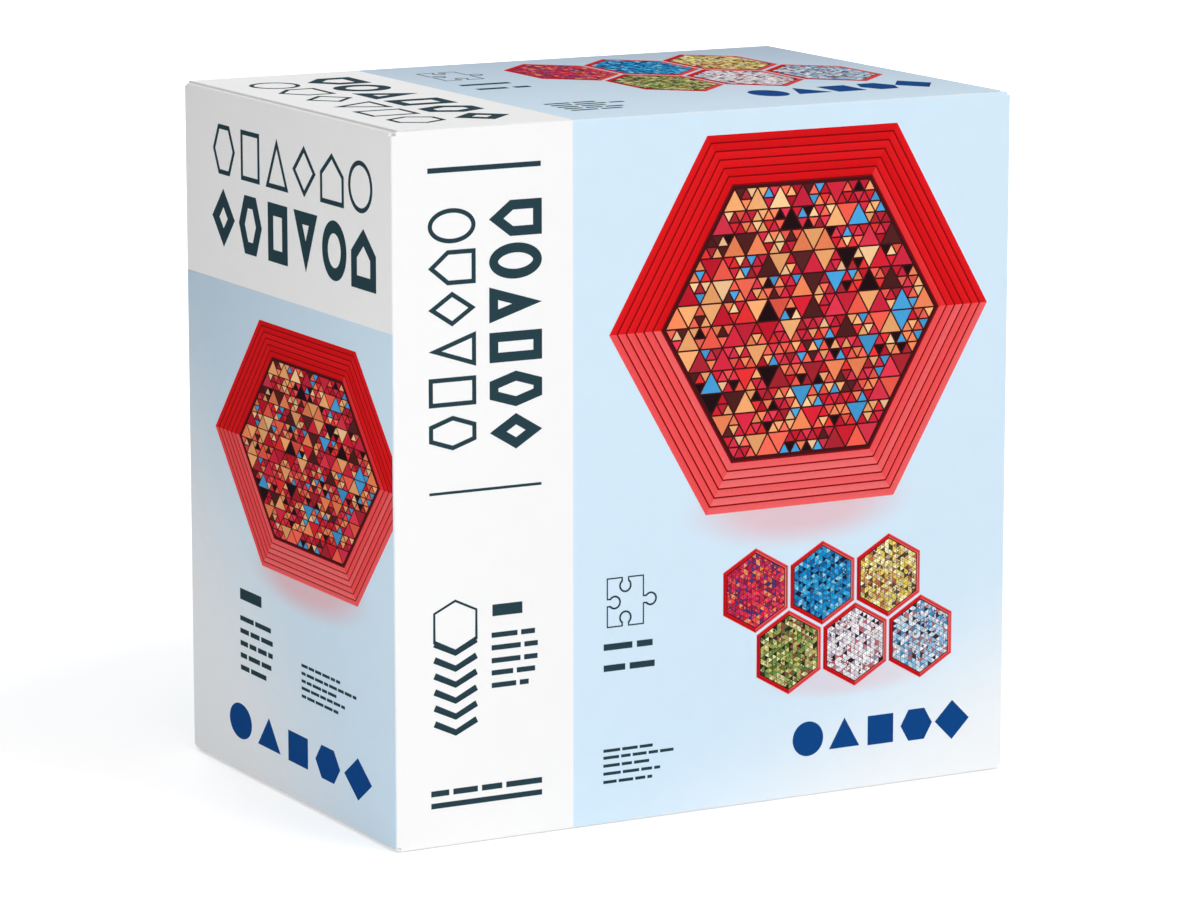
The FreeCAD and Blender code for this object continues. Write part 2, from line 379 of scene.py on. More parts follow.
# Lines of one width, repeated downwards.
def makeLineTree():
    tree, given = newTree("line_print", Copies="Int", Pitch="Float", Width="Float")
    curves = addNode(tree, "GeometryNodeMeshToCurve", [given["Geometry"]])
    down = addNode(tree, "ShaderNodeMath", [given["Pitch"], -1.0], operation="MULTIPLY")
    step = addNode(tree, "ShaderNodeCombineXYZ", [0.0, down])
    spots = addNode(tree, "GeometryNodeMeshLine", {"Count": given["Copies"], "Offset": step})
    placed = addNode(tree, "GeometryNodeInstanceOnPoints", {"Points": spots, "Instance": curves})
    repeated = addNode(tree, "GeometryNodeRealizeInstances", [placed])
    upright = addNode(tree, "GeometryNodeSetCurveNormal", [repeated], mode="Z_UP")
    stroke = addNode(tree, "GeometryNodeCurvePrimitiveQuadrilateral", {
        "Width": given["Width"], "Height": given["Depth"],
    })
    swept = addNode(
        tree, "GeometryNodeCurveToMesh", {"Curve": upright, "Profile Curve": stroke, "Fill Caps": True},
    )
    half = addNode(tree, "ShaderNodeMath", [given["Depth"], 0.5], operation="MULTIPLY")
    lift = addNode(tree, "ShaderNodeCombineXYZ", [0.0, 0.0, half])
    lifted = addNode(tree, "GeometryNodeSetPosition", {"Geometry": swept, "Offset": lift})
    return finishTree(tree, lifted, given)


tileSeeds = {"tile": 11.0, "tone": 23.0}     # what each random value adds to the seed


# A hexagon of triangular tiles with open joints. A share of the tiles is split in four.
def makeMosaicTree():
    tree, given = newTree(
        "triangle_mosaic", Radius="Float", Rows="Int", Joint="Float", Split_Share="Float", Seed="Int",
    )
    side = addNode(tree, "ShaderNodeMath", [given["Radius"], given["Rows"]], operation="DIVIDE")
    rise = addNode(tree, "ShaderNodeMath", [side, rootThree / 2], operation="MULTIPLY")
    columns = addNode(tree, "ShaderNodeMath", [given["Rows"], 4.0], operation="MULTIPLY")
    rows = addNode(tree, "ShaderNodeMath", [given["Rows"], 2.0], operation="MULTIPLY")
    lattice = addNode(tree, "GeometryNodeMeshGrid", {
        "Size X": addNode(tree, "ShaderNodeMath", [side, columns], operation="MULTIPLY"),
        "Size Y": addNode(tree, "ShaderNodeMath", [rise, rows], operation="MULTIPLY"),
        "Vertices X": addNode(tree, "ShaderNodeMath", [columns, 1.0], operation="ADD"),
        "Vertices Y": addNode(tree, "ShaderNodeMath", [rows, 1.0], operation="ADD"),
    })
    spots = addNode(tree, "GeometryNodeMeshToPoints", [lattice])
    place = addNode(tree, "ShaderNodeSeparateXYZ", [addNode(tree, "GeometryNodeInputPosition")]).outputs

    # Each lattice point carries the tile above it to the right and the one above it, turned over.
    skew = addNode(tree, "ShaderNodeMath", [place[1], 1 / rootThree], operation="MULTIPLY")
    uprightX = addNode(tree, "ShaderNodeMath", [side, 0.5, skew], operation="MULTIPLY_ADD")
    uprightY = addNode(tree, "ShaderNodeMath", [rise, 1 / 3], operation="MULTIPLY")
    turnedY = addNode(tree, "ShaderNodeMath", [rise, 2 / 3], operation="MULTIPLY")
    upright, turned = (
        addNode(tree, "GeometryNodeSetPosition", {
            "Geometry": spots, "Offset": addNode(tree, "ShaderNodeCombineXYZ", offset),
        })
        for offset in ([uprightX, uprightY], [skew, turnedY])
    )
    marked = addNode(
        tree, "GeometryNodeStoreNamedAttribute", {"Geometry": turned, "Name": "turned", "Value": math.pi},
    )
    centres = addNode(tree, "GeometryNodeJoinGeometry", [[upright, marked]])

    # Centres outside the hexagon go.
    offX, offY = (addNode(tree, "ShaderNodeMath", [part], operation="ABSOLUTE") for part in place[:2])
    slanted = addNode(tree, "ShaderNodeMath", [offX, rootThree, offY], operation="MULTIPLY_ADD")
    halved = addNode(tree, "ShaderNodeMath", [slanted, 0.5], operation="MULTIPLY")
    reach = addNode(tree, "ShaderNodeMath", [offY, halved], operation="MAXIMUM")
    edge = addNode(tree, "ShaderNodeMath", [given["Radius"], rootThree / 2], operation="MULTIPLY")
    beyond = addNode(tree, "ShaderNodeMath", [reach, edge], operation="GREATER_THAN")
    kept = addNode(tree, "GeometryNodeDeleteGeometry", {"Geometry": centres, "Selection": beyond})

    # A whole tile, and one split in four.
    corner = addNode(tree, "ShaderNodeMath", [side, 1 / rootThree], operation="MULTIPLY")
    halfCorner = addNode(tree, "ShaderNodeMath", [corner, 0.5], operation="MULTIPLY")
    tiles = []
    quarterTurn, halfTurn = (0, 0, math.pi / 2), (0, 0, math.pi)
    for outer in (corner, halfCorner):
        radius = addNode(tree, "ShaderNodeMath", [outer, given["Joint"]], operation="SUBTRACT")
        sizes = {"Vertices": 3, "Radius": radius}
        shape = addNode(tree, "GeometryNodeMeshCircle", sizes, fill_type="NGON")
        tiles.append(addNode(tree, "GeometryNodeTransform", {"Geometry": shape, "Rotation": quarterTurn}))
    corners = addNode(tree, "GeometryNodeMeshCircle", {"Vertices": 3, "Radius": halfCorner})
    cornersUp = addNode(tree, "GeometryNodeTransform", {"Geometry": corners, "Rotation": quarterTurn})
    outerTiles = addNode(tree, "GeometryNodeInstanceOnPoints", {"Points": cornersUp, "Instance": tiles[1]})
    middleTile = addNode(tree, "GeometryNodeTransform", {"Geometry": tiles[1], "Rotation": halfTurn})
    fourTiles = addNode(tree, "GeometryNodeJoinGeometry", [[outerTiles, middleTile]])

    split = addNode(
        tree, "FunctionNodeRandomValue", {"Probability": given["Split Share"], "Seed": given["Seed"]},
        data_type="BOOLEAN",
    ).outputs[3]
    whole = addNode(tree, "FunctionNodeBooleanMath", [split], operation="NOT")
    angle = addNode(tree, "GeometryNodeInputNamedAttribute", ["turned"])
    rotation = addNode(tree, "ShaderNodeCombineXYZ", [0.0, 0.0, angle])
    laid = [
        addNode(tree, "GeometryNodeInstanceOnPoints", {
            "Points": kept, "Instance": tile, "Selection": chosen, "Rotation": rotation,
        })
        for tile, chosen in ((tiles[0], whole), (fourTiles, split))
    ]
    joined = addNode(tree, "GeometryNodeJoinGeometry", [laid])
    faces = addNode(tree, "GeometryNodeRealizeInstances", [joined])
    solid = makeFilm(tree, faces, given)

    # Each tile's own random values, which its ink reads.
    island = addNode(tree, "GeometryNodeInputMeshIsland").outputs[0]
    for name, shift in tileSeeds.items():
        seed = addNode(tree, "ShaderNodeMath", [given["Seed"], shift], operation="ADD")
        value = addNode(tree, "FunctionNodeRandomValue", {"ID": island, "Seed": seed}).outputs[1]
        solid = addNode(
            tree, "GeometryNodeStoreNamedAttribute", {"Geometry": solid, "Name": name, "Value": value},
            domain="FACE",
        )
    return finishTree(tree, solid, given)


# How far along its inks a band is at the head and at the foot, the chance in that, and its tone.
bandLook = {"head": 0.05, "foot": 0.8, "chance": (-0.12, 0.18), "tone": 0.5}


# Concentric six-sided bands with fine open lines between them, lighter towards the foot. Each
# band is shaded across, from 0 at its outer side to 1 at its inner side.
def makeBandTree():
    tree, given = newTree(
        "faceted_bands", Outer_Radius="Float", Inner_Radius="Float", Bands="Int", Line="Float", Seed="Int",
    )
    rings = addNode(tree, "ShaderNodeMath", [given["Bands"], 2.0], operation="MULTIPLY")
    spans = addNode(tree, "ShaderNodeMath", [rings, 1.0], operation="SUBTRACT")
    sheet = addNode(tree, "GeometryNodeMeshGrid", {
        "Size X": 6.0, "Size Y": spans, "Vertices X": 7, "Vertices Y": rings,
    })
    place = addNode(tree, "ShaderNodeSeparateXYZ", [addNode(tree, "GeometryNodeInputPosition")]).outputs
    ring = addNode(tree, "ShaderNodeMath", [spans, 0.5, place[1]], operation="MULTIPLY_ADD")
    phase = addNode(tree, "ShaderNodeMath", [ring, 2.0], operation="MODULO")
    between = addNode(tree, "ShaderNodeMath", [phase, 1.0], operation="GREATER_THAN")
    ringed = addNode(
        tree, "GeometryNodeDeleteGeometry", {"Geometry": sheet, "Selection": between}, domain="FACE",
    )

    # A sheet row becomes a ring and a sheet column a corner of the hexagon.
    ringWhole = addNode(tree, "ShaderNodeMath", [ring], operation="ROUND")
    ringHalf = addNode(tree, "ShaderNodeMath", [ringWhole, 0.5], operation="MULTIPLY")
    band = addNode(tree, "ShaderNodeMath", [ringHalf], operation="FLOOR")
    innerSide = addNode(tree, "ShaderNodeMath", [band, -2.0, ringWhole], operation="MULTIPLY_ADD")
    room = addNode(
        tree, "ShaderNodeMath", [given["Outer Radius"], given["Inner Radius"]], operation="SUBTRACT",
    )
    step = addNode(tree, "ShaderNodeMath", [room, given["Bands"]], operation="DIVIDE")
    breadth = addNode(tree, "ShaderNodeMath", [step, given["Line"]], operation="SUBTRACT")
    inOuter = addNode(tree, "ShaderNodeMath", [band, step], operation="MULTIPLY")
    inwards = addNode(tree, "ShaderNodeMath", [innerSide, breadth, inOuter], operation="MULTIPLY_ADD")
    radius = addNode(tree, "ShaderNodeMath", [given["Outer Radius"], inwards], operation="SUBTRACT")
    column = addNode(tree, "ShaderNodeMath", [place[0], 3.0], operation="ADD")
    angle = addNode(tree, "ShaderNodeMath", [column, math.pi / 3], operation="MULTIPLY")
    spot = []
    for function in ("COSINE", "SINE"):
        part = addNode(tree, "ShaderNodeMath", [angle], operation=function)
        spot.append(addNode(tree, "ShaderNodeMath", [radius, part], operation="MULTIPLY"))
    marked = addNode(
        tree, "GeometryNodeStoreNamedAttribute", {"Geometry": ringed, "Name": "shade", "Value": innerSide},
    )
    bent = addNode(tree, "GeometryNodeSetPosition", {
        "Geometry": marked, "Position": addNode(tree, "ShaderNodeCombineXYZ", spot),
    })
    closed = addNode(tree, "GeometryNodeMergeByDistance", {"Geometry": bent, "Distance": film["weld"]})
    solid = makeFilm(tree, closed, given)

    # The tile value grows towards the foot, with a little chance in it.
    position = addNode(tree, "GeometryNodeInputPosition")
    bearing = addNode(tree, "ShaderNodeVectorMath", [position], operation="NORMALIZE")
    height = addNode(tree, "ShaderNodeSeparateXYZ", [bearing]).outputs[1]
    footward = addNode(tree, "ShaderNodeMapRange", [height, 1.0, -1.0, bandLook["head"], bandLook["foot"]])
    least, most = bandLook["chance"]
    chance = addNode(tree, "FunctionNodeRandomValue", {2: least, 3: most, "Seed": given["Seed"]}).outputs[1]
    value = addNode(tree, "ShaderNodeMath", [footward, chance], operation="ADD")
    for name, stored in (("tile", value), ("tone", bandLook["tone"])):
        solid = addNode(
            tree, "GeometryNodeStoreNamedAttribute", {"Geometry": solid, "Name": name, "Value": stored},
            domain="FACE",
        )
    return finishTree(tree, solid, given)


solidTree, lineTree = makeSolidTree(), makeLineTree()
mosaicTree, bandTree = makeMosaicTree(), makeBandTree()
print("geometry trees made")


# The mesh that a tree makes of flat outlines, each a list of points and whether it is closed.
def growPrint(tree, outlines, ink, layer="ink", **inputs):
    inputs |= {"Depth": film["foot"] + film[layer], "Ink": inks[ink]}
    base = bpy.data.meshes.new("outlines")
    points, edges = [], []
    for outline, isClosed in outlines:
        first = len(points)
        points += [(x, -y, 0) for x, y in outline]
        edges += [(first + n, first + n + 1) for n in range(len(outline) - 1)]
        if isClosed:
            edges.append((len(points) - 1, first))
    base.from_pydata(points, edges, [])
    grower = bpy.data.objects.new("grower", base)
    scene.collection.objects.link(grower)
    modifier = grower.modifiers.new("print", "NODES")
    modifier.node_group = tree
    identifiers = {
        item.name: item.identifier for item in tree.interface.items_tree if item.in_out == "INPUT"
    }
    for name, value in inputs.items():
        modifier[identifiers[name.replace("_", " ")]] = value
    evaluated = grower.evaluated_get(bpy.context.evaluated_depsgraph_get())
    mesh = bpy.data.meshes.new_from_object(evaluated)
    bpy.data.objects.remove(grower)
    return mesh


def panelMatrix(panel):
    corner, right, up = (Vector(part) for part in panels[panel])
    turned = Matrix((right, up, right.cross(up))).transposed().to_4x4()
    return Matrix.Translation(corner) @ turned @ Matrix.Scale(mm, 4)


# One piece of the print: flat meshes laid on their panels, joined and cleaned.
def layPrint(name, laid):
    parts = []
    for mesh, panel, place in laid:
        flat = mesh.copy()
        flat.transform(panelMatrix(panel) @ Matrix.Translation((0, 0, -film["foot"])) @ place)
        part = bpy.data.objects.new(name, flat)
        scene.collection.objects.link(part)
        parts.append(part)
    piece = parts[0]
    with bpy.context.temp_override(active_object=piece, object=piece, selected_editable_objects=parts):
        bpy.ops.object.join()
    piece.name = name
    net = bmesh.new()
    net.from_mesh(piece.data)
    bmesh.ops.remove_doubles(net, verts=net.verts, dist=film["weld"] * mm)
    bmesh.ops.recalc_face_normals(net, faces=net.faces)
    net.to_mesh(piece.data)
    net.free()
    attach(piece, "root")


def moved(x, y, scaleX, scaleY):
    return Matrix.Translation((x, -y, 0)) @ Matrix.Diagonal((scaleX, scaleY, 1, 1))


stay = Matrix.Identity(4)


# Flat shapes.

def rectangle(left, top, right, bottom):
    return [(left, top), (right, top), (right, bottom), (left, bottom)], True


def polygon(centreX, centreY, radius, sides, turn=0.0, stretch=1.0):
    points = []
    for number in range(sides):
        angle = turn + math.tau * number / sides
        points.append((centreX + stretch * radius * math.cos(angle), centreY - radius * math.sin(angle)))
    return points, True


# A convex outline drawn in evenly by a distance, or nothing where too little would be left.
def drawnIn(points, distance, least):
    middle = sum((Vector(point) for point in points), Vector((0, 0))) / len(points)
    lines = []
    for number, point in enumerate(points):
        start, end = Vector(point), Vector(points[(number + 1) % len(points)])
        ahead = (end - start).normalized()
        inward = Vector((-ahead.y, ahead.x))
        if inward.dot(middle - start) < 0:
            inward = -inward
        if inward.dot(middle - start) < distance + least:
            return []
        lines.append((start + inward * distance, ahead))
    inner = []
    for number, (start, ahead) in enumerate(lines):
        lastStart, lastAhead = lines[number - 1]
        reach = (start - lastStart).cross(ahead) / lastAhead.cross(ahead)
        inner.append(tuple(lastStart + lastAhead * reach))
    return [(inner, True)]


# Knobs on the left, upper, right and lower side, each outwards (1) or inwards (-1). The head's
# radius is a share of the width, and the neck's half width and the reach are shares of the head.
knobShape = {"sides": (-1, -1, 1, -1), "head": 0.15, "neck": 0.60, "reach": 1.35, "segments": 14}


# A jigsaw piece's closed outline.
def jigsawPiece(left, top, width, height):
    right, bottom = left + width, top + height
    corners = [Vector(corner) for corner in ((left, bottom), (left, top), (right, top), (right, bottom))]
    head, segments = knobShape["head"] * width, knobShape["segments"]
    neck, reach = knobShape["neck"] * head, knobShape["reach"] * head
    spread = math.asin(neck / head)
    points = []
    for number, side in enumerate(knobShape["sides"]):
        start, end = corners[number], corners[(number + 1) % 4]
        ahead = (end - start).normalized()
        away = Vector((ahead.y, -ahead.x)) * side
        foot = (start + end) / 2
        points += [start, foot - ahead * neck]
        for step in range(segments + 1):
            angle = math.pi + spread + (math.tau - 2 * spread) * step / segments
            points.append(foot + away * (reach + math.cos(angle) * head) + ahead * math.sin(angle) * head)
        points.append(foot + ahead * neck)
    return [tuple(point) for point in points], True


# The camera, from seven corners of the carton in the photograph.
cameraView = {
    "azimuth": -28.631, "elevation": 10.728, "distance": 1555.9, "focalLength": 153.22, "sensor": 36.0,
    "target": (1.97, 0.0, 96.36), "clip": (50.0, 30000.0),
}


def makeCamera():
    azimuth, elevation = (math.radians(cameraView[key]) for key in ("azimuth", "elevation"))
    level = math.cos(elevation)
    back = Vector((math.sin(azimuth) * level, -math.cos(azimuth) * level, math.sin(elevation)))
    data = bpy.data.cameras.new("camera")
    data.lens, data.sensor_width = cameraView["focalLength"], cameraView["sensor"]
    data.sensor_fit = "HORIZONTAL"
    data.clip_start, data.clip_end = (distance * mm for distance in cameraView["clip"])
    camera = bpy.data.objects.new("camera", data)
    camera.location = (Vector(cameraView["target"]) + back * cameraView["distance"]) * mm
    camera.rotation_mode = "QUATERNION"
    camera.rotation_quaternion = (-back).to_track_quat("-Z", "Y")
    scene.collection.objects.link(camera)
    scene.camera = camera


carton.data.materials.clear()
carton.data.materials.append(makeBoard())
makeCamera()


# Titles: a thin and a bold row of plain figures on each panel. A figure is drawn in outline
# in its cell, whose first number runs along the row and whose second runs up from its line.
ellipseCorners = 40
figures = {
    "triangle": [(0, 0), (1, 0), (0.5, 1)],
    "turned": [(0, 1), (1, 1), (0.5, 0)],
    "rectangle": [(0.08, 0), (0.92, 0), (0.92, 1), (0.08, 1)],
    "rhombus": [(0, 0.5), (0.5, 0), (1, 0.5), (0.5, 1)],
    "hexagon": [(0, 0.5), (0.25, 0), (0.75, 0), (1, 0.5), (0.75, 1), (0.25, 1)],
    "house": [(0, 0), (1, 0), (1, 0.6), (0.5, 1), (0, 0.6)],
    "ellipse": [
        (0.5 + 0.5 * math.cos(turn), 0.5 + 0.5 * math.sin(turn))
        for turn in (math.tau * number / ellipseCorners for number in range(ellipseCorners))
    ],
}
titleRows = {
    "cellShare": 0.84,           # of a cell that its figure takes up
    "leastHole": 0.35,           # a smaller one is left filled
    "thin": ("hexagon", "rectangle", "triangle", "rhombus", "house", "ellipse"),
    "bold": ("rhombus", "hexagon", "rectangle", "turned", "ellipse", "house"),
    # Start, line, length, height and stroke. Rows on the front, back and top read upwards.
    "rows": {
        "front": {"thin": (92.2, 26.4, 69.4, 15.1, 1.3), "bold": (93.5, 47.6, 71.8, 16.9, 2.8)},
        "top": {"thin": (128.0, 26.0, 110.6, 15.3, 1.4), "bold": (129.4, 47.6, 113.9, 17.6, 3.7)},
        "left": {"thin": (20.6, 25.4, 108.4, 15.0, 1.4), "bold": (19.5, 47.2, 111.4, 17.5, 3.7)},
    },
    "places": {"front": ("front", "back"), "top": ("top",), "left": ("left", "right")},
}


def makeTitles():
    share = titleRows["cellShare"]
    for weight in ("thin", "bold"):
        laid = []
        for panel, rows in titleRows["rows"].items():
            start, line, length, height, stroke = rows[weight]
            pitch = length / (len(titleRows[weight]) - 1 + share)
            outlines = []
            for number, name in enumerate(titleRows[weight]):
                points = []
                for along, up in figures[name]:
                    reach = pitch * (number + share * along)
                    across = line - up * height
                    points.append((start + reach, across) if panel == "left" else (across, start - reach))
                outlines += [(points, True)] + drawnIn(points, stroke, titleRows["leastHole"])
            mesh = growPrint(solidTree, outlines, "teal")
            laid += [(mesh, place, stay) for place in titleRows["places"][panel]]
        layPrint(f"title_figures_{weight}", laid)
    print("titles laid")


makeTitles()

# Rules on the strip, and the plain bars that stand for small print.
barPrint = {
    "seed": 5,
    # In bar heights: a word's length, the gap after it, and the shortest bar and end of a line.
    "word": (3.0, 6.5), "gap": 0.8, "leastBar": 0.5, "leastEnd": 2.5,
    "rules": [(11.3, 11.1, 47.3, 12.6), (11.3, 104.0, 47.3, 104.8), (11.3, 194.9, 47.3, 196.5)],
    # Start, end, middle height and bar height of each line.
    "lines": {
        "front": [
            (31.3, 41.0, 140.1, 3.4), (31.0, 45.1, 147.4, 1.5), (31.0, 46.0, 151.1, 1.5),
            (31.0, 45.9, 154.9, 1.5), (31.0, 45.1, 158.5, 1.5), (31.0, 43.0, 162.2, 1.5),
            (11.3, 47.3, 192.1, 1.7), (67.7, 84.0, 155.1, 1.9), (67.7, 84.7, 161.4, 1.9),
            (67.6, 84.1, 186.1, 0.9), (67.6, 91.1, 188.2, 0.9), (67.6, 82.9, 190.6, 0.9),
            (67.6, 86.6, 193.0, 0.9), (67.6, 83.9, 195.5, 0.9),
        ],
        "left": [
            (35.8, 51.0, 151.9, 3.4), (35.7, 57.5, 159.4, 1.5), (35.7, 58.7, 163.3, 1.5),
            (35.7, 58.6, 167.1, 1.5), (35.7, 57.5, 170.9, 1.5), (35.7, 53.9, 174.7, 1.5),
            (78.7, 104.9, 165.4, 0.9), (78.7, 115.7, 167.8, 0.9), (78.7, 102.3, 170.1, 0.9),
            (78.7, 108.0, 172.3, 0.9), (78.7, 103.5, 174.7, 0.9),
        ],
        "top": [
            (67.4, 84.0, 51.9, 3.0), (67.4, 85.0, 63.1, 3.0), (67.4, 84.0, 105.6, 1.6),
            (67.4, 91.4, 109.8, 1.6), (67.4, 82.9, 113.9, 1.6), (67.4, 86.6, 118.0, 1.6),
            (67.4, 84.0, 122.2, 1.6),
        ],
    },
}


# A line of small print as bars of a word's length each.
def wordBars(line, chance):
    start, end, middle, height = line
    bars = []
    while start < end - barPrint["leastBar"] * height:
        stop = start + height * chance.uniform(*barPrint["word"])
        if stop > end - barPrint["leastEnd"] * height:
            stop = end
        bars.append(rectangle(start, middle - height / 2, stop, middle + height / 2))
        start = stop + barPrint["gap"] * height
    return bars


def makeBars():
    chance = random.Random(barPrint["seed"])
    mesh = growPrint(solidTree, [rectangle(*bar) for bar in barPrint["rules"]], "teal")
    rules = [(mesh, panel, stay) for panel in ("front", "back")]
    captions = []
    for panel, lines in barPrint["lines"].items():
        outlines = [bar for line in lines for bar in wordBars(line, chance)]
        captions.append((growPrint(solidTree, outlines, "teal"), panel, stay))
    layPrint("rules", rules)
    layPrint("caption_bars", captions)
    print("bars laid")


makeBars()

# Small signs: a stack of layers, the outline of one piece, and a row of plain shapes.
signPrint = {
    "stack": {
        "left": 12.6, "top": 136.0, "width": 13.5, "rise": 3.2, "drop": 8.8, "line": 0.75, "layers": 6,
        "step": 4.7, "stroke": 1.9,
    },
    "piece": {"front": (68.9, 134.8, 12.0, 14.4), "top": (69.4, 18.6, 12.6, 20.4)}, "pieceLine": 0.55,
    # Left and right end, middle height, radius and stretch of each row of shapes.
    "rows": {
        "front": (131.9, 193.3, 190.6, 5.3, 1.0), "left": (27.1, 124.3, 191.8, 5.5, 1.45),
        "top": (133.3, 195.0, 112.7, 8.0, 0.7),
    },
    # Corners, radius, turn and lowering of each shape in a row.
    "shapes": ((40, 1.0, 0, 0), (3, 1.15, 90, 0.2), (4, 1.2, 45, 0), (6, 1.05, 0, 0), (4, 1.15, 0, 0)),
}


def makeSigns():
    stack = signPrint["stack"]
    left, top, rise = stack["left"], stack["top"], stack["rise"]
    right, middle, foot = left + stack["width"], left + stack["width"] / 2, top + rise + stack["drop"]
    sheet = [(left, foot), (left, top + rise), (middle, top), (right, top + rise), (right, foot)]
    layer = [(left, foot), (middle, foot + rise), (right, foot)]
    signs = []
    for outline, copies, stroke in ((sheet, 1, stack["line"]), (layer, stack["layers"], stack["stroke"])):
        mesh = growPrint(
            lineTree, [(outline, False)], "teal", Copies=copies, Pitch=stack["step"], Width=stroke,
        )
        signs.append((mesh, "front", stay))
    for panel, room in signPrint["piece"].items():
        mesh = growPrint(lineTree, [jigsawPiece(*room)], "teal", Copies=1, Width=signPrint["pieceLine"])
        signs.append((mesh, panel, stay))
    layPrint("line_signs", signs)

    rows = []
    for panel, (left, right, middle, radius, stretch) in signPrint["rows"].items():
        pitch = (right - left - 2 * radius * stretch) / (len(signPrint["shapes"]) - 1)
        outlines = []
        for number, (corners, share, turn, lower) in enumerate(signPrint["shapes"]):
            spot = left + radius * stretch + pitch * number, middle + lower * radius
            outlines.append(polygon(*spot, share * radius, corners, math.radians(turn), stretch))
        rows.append((growPrint(solidTree, outlines, "navy"), panel, stay))
    layPrint("shape_rows", rows)
    print("signs laid")


makeSigns()


# The bands and the tiles of a mosaic, from its dictionary.
def growBands(look):
    return growPrint(
        bandTree, [], "rim", Outer_Radius=look["radius"], Inner_Radius=look["rimInner"],
        Bands=look["bands"], Line=look["line"], Seed=look["seed"],
    )


def growTiles(look, ink, number=0):
    return growPrint(
        mosaicTree, [], ink, Radius=look["tileRadius"], Rows=look["rows"], Joint=look["joint"],
        Split_Share=look["splitShare"], Seed=look["seed"] + number,
    )


# The large picture: a six-sided mosaic in a rim of red bands.
picture = {
    "radius": 64.5, "rimInner": 47.0, "tileRadius": 46.0, "bands": 6, "line": 0.55, "rows": 6,
    "joint": 0.5, "splitShare": 0.55, "seed": 7,
    "places": {"front": (134.0, 63.2, 1.0, 1.0), "left": (84.6, 103.1, 1.008, 0.667)},
    "foldEdge": 140.4,
}


# Cuts a flat mesh off at an upright line and closes the cut films.
def cutAt(mesh, place, line):
    net = bmesh.new()
    net.from_mesh(mesh)
    bmesh.ops.transform(net, matrix=place, verts=net.verts)
    cut = bmesh.ops.bisect_plane(
        net, geom=net.verts[:] + net.edges[:] + net.faces[:], plane_co=(line, 0, 0), plane_no=(1, 0, 0),
        clear_outer=True,
    )
    rims = [item for item in cut["geom_cut"] if isinstance(item, bmesh.types.BMEdge)]
    bmesh.ops.holes_fill(net, edges=rims)
    trimmed = mesh.copy()
    net.to_mesh(trimmed)
    net.free()
    return trimmed


def makePicture():
    outer, inner = (polygon(0, 0, picture[key], 6) for key in ("radius", "rimInner"))
    meshes = {
        "picture_rim": growBands(picture),
        "picture_rim_ground": growPrint(solidTree, [outer, inner], "rimGround", "ground"),
        "picture_tiles": growTiles(picture, "warm"),
        "picture_tile_ground": growPrint(solidTree, [inner], "tileGround", "ground"),
    }
    onFront, onLeft = (moved(*place) for place in picture["places"].values())
    for name, mesh in meshes.items():
        trimmed = cutAt(mesh, onLeft, picture["foldEdge"])
        layPrint(name, [(mesh, "front", onFront), (trimmed, "left", stay)])
    print("picture laid")


makePicture()

# Six small mosaics in two offset rows.
patches = {
    "radius": 12.8, "rimInner": 11.3, "tileRadius": 11.2, "bands": 2, "line": 0.2, "rows": 7,
    "joint": 0.1, "splitShare": 0.2, "seed": 31, "pitch": 23.0,
    "inks": (("pink", "blue", "yellow"), ("green", "lilac", "sky")),
    "places": {"front": (147.6, 153.4, 1.0, 1.0), "top": (146.0, 54.7, 1.22, 1.98)},
}


def makePatches():
    upright = Matrix.Rotation(math.pi / 2, 4, "Z")
    rim = growBands(patches)
    plate = growPrint(solidTree, [polygon(0, 0, patches["radius"], 6)], "tileGround", "ground")
    rims, plates = [], []
    for row, names in enumerate(patches["inks"]):
        for column, name in enumerate(names):
            across = (column - 1 + (row - 0.5) * 0.5) * patches["pitch"]
            up = (0.5 - row) * patches["pitch"] * rootThree / 2
            spot = Matrix.Translation((across, up, 0)) @ upright
            tiles = growTiles(patches, name, 3 * row + column)
            spots = [(panel, moved(*place) @ spot) for panel, place in patches["places"].items()]
            layPrint(f"patch_tiles_{name}", [(tiles, *onPanel) for onPanel in spots])
            rims += [(rim, *onPanel) for onPanel in spots]
            plates += [(plate, *onPanel) for onPanel in spots]
    layPrint("patch_rims", rims)
    layPrint("patch_grounds", plates)
    print("patches laid")


makePatches()


# Where a ray shows the background: straight from the camera, or in gloss or glass.
def showsBackground(tree):
    rays = addNode(tree, "ShaderNodeLightPath").outputs
    seen = [rays["Is Camera Ray"], rays["Is Glossy Ray"]]
    glossy = addNode(tree, "ShaderNodeMath", seen, operation="MAXIMUM")
    return addNode(tree, "ShaderNodeMath", [glossy, rays["Is Transmission Ray"]], operation="MAXIMUM")


# A wide floor that shows white and keeps the carton's shadow. It isn't seen from below, and it
# is open under the carton, so that the base has light when it is seen from there. Its lift to
# white is less near the carton, where the shadow lies. Lengths are in metres.
stageLook = {
    "floorRadius": 6.0, "floorSides": 64, "floorDrop": 0.0001, "openingInset": 0.0018,
    "floorColour": "#f0f0f0", "lift": (0.375, 0.9), "liftFrom": (0.2, 0.6),
}


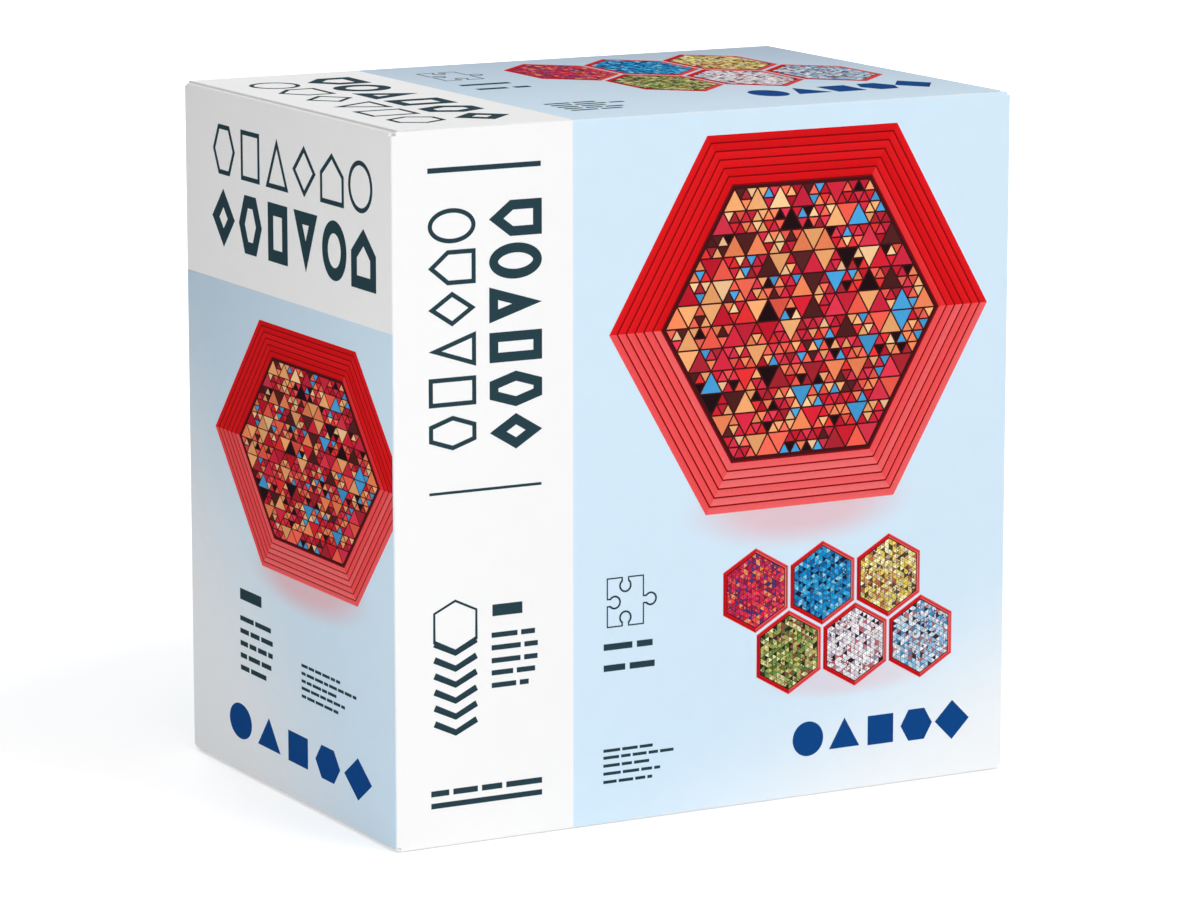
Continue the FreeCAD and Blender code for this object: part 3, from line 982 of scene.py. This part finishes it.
def makeFloor():
    net = bmesh.new()
    bmesh.ops.create_circle(net, segments=stageLook["floorSides"], radius=stageLook["floorRadius"])
    inset = stageLook["openingInset"]
    reachX, reachY = high.x - inset, high.y - inset
    corners = ((reachX, reachY, 0), (-reachX, reachY, 0), (-reachX, -reachY, 0), (reachX, -reachY, 0))
    opening = [net.verts.new(corner) for corner in corners]
    for number, corner in enumerate(opening):
        net.edges.new((corner, opening[number - 1]))
    bmesh.ops.triangle_fill(net, use_beauty=True, edges=net.edges, normal=(0, 0, 1))
    bmesh.ops.translate(net, verts=net.verts, vec=(0, 0, -stageLook["floorDrop"]))
    data = bpy.data.meshes.new("floor")
    net.to_mesh(data)
    net.free()
    floor = bpy.data.objects.new("floor", data)
    scene.collection.objects.link(floor)
    material, tree = newMaterial("matt_white_paper_sweep")
    place = addNode(tree, "ShaderNodeTexCoord").outputs["Object"]
    away = addNode(tree, "ShaderNodeVectorMath", [place], operation="LENGTH").outputs["Value"]
    lift = addNode(tree, "ShaderNodeMapRange", [away, *stageLook["liftFrom"], *stageLook["lift"]])
    strength = addNode(tree, "ShaderNodeMath", [showsBackground(tree), lift], operation="MULTIPLY")
    paper = addNode(tree, "ShaderNodeBsdfDiffuse", {"Color": toLinear(stageLook["floorColour"])})
    glow = addNode(tree, "ShaderNodeEmission", {"Color": (1, 1, 1, 1), "Strength": strength})
    lit = addNode(tree, "ShaderNodeAddShader", [paper, glow])
    beneath = addNode(tree, "ShaderNodeNewGeometry").outputs["Backfacing"]
    clear = addNode(tree, "ShaderNodeBsdfTransparent")
    shown = addNode(tree, "ShaderNodeMixShader", [beneath, lit, clear])
    addNode(tree, "ShaderNodeOutputMaterial", [shown])
    data.materials.append(material)


# Large soft lamps, a small one close to the left side, and an even white surround.
lampPlan = {
    "surround": 0.33,
    # Place, aim, size and power.
    "lamps": {
        "key": ((1.1, -2.2, 0.7), (0.0, 0.0, 0.1), 1.4, 26.9),
        "side": ((-0.42, -0.20, 0.06), (-0.103, -0.02, 0.07), 0.25, 0.42),
        "overhead": ((-0.1, -0.5, 1.7), (0.0, 0.0, 0.1), 1.2, 7.4),
        "rear": ((0.2, 2.0, 1.6), (0.0, 0.0, 0.1), 1.2, 14.0),
    },
}


def makeLight():
    for name, (place, aim, size, power) in lampPlan["lamps"].items():
        data = bpy.data.lights.new(name, "AREA")
        data.shape, data.size, data.energy = "DISK", size, power
        lamp = bpy.data.objects.new(name, data)
        lamp.location = place
        lamp.rotation_mode = "QUATERNION"
        lamp.rotation_quaternion = (Vector(aim) - Vector(place)).to_track_quat("-Z", "Y")
        lamp.visible_camera = False
        scene.collection.objects.link(lamp)
    world = bpy.data.worlds.new("white_surround")
    world.use_nodes = True
    scene.world = world
    tree = world.node_tree
    tree.nodes.clear()
    strength = addNode(tree, "ShaderNodeMix", {0: showsBackground(tree), 2: lampPlan["surround"], 3: 1.0})
    sky = addNode(tree, "ShaderNodeBackground", {"Color": (1, 1, 1, 1), "Strength": strength})
    addNode(tree, "ShaderNodeOutputWorld", [sky])
    scene.view_settings.view_transform = "Standard"


makeFloor()
makeLight()
print("stage set")
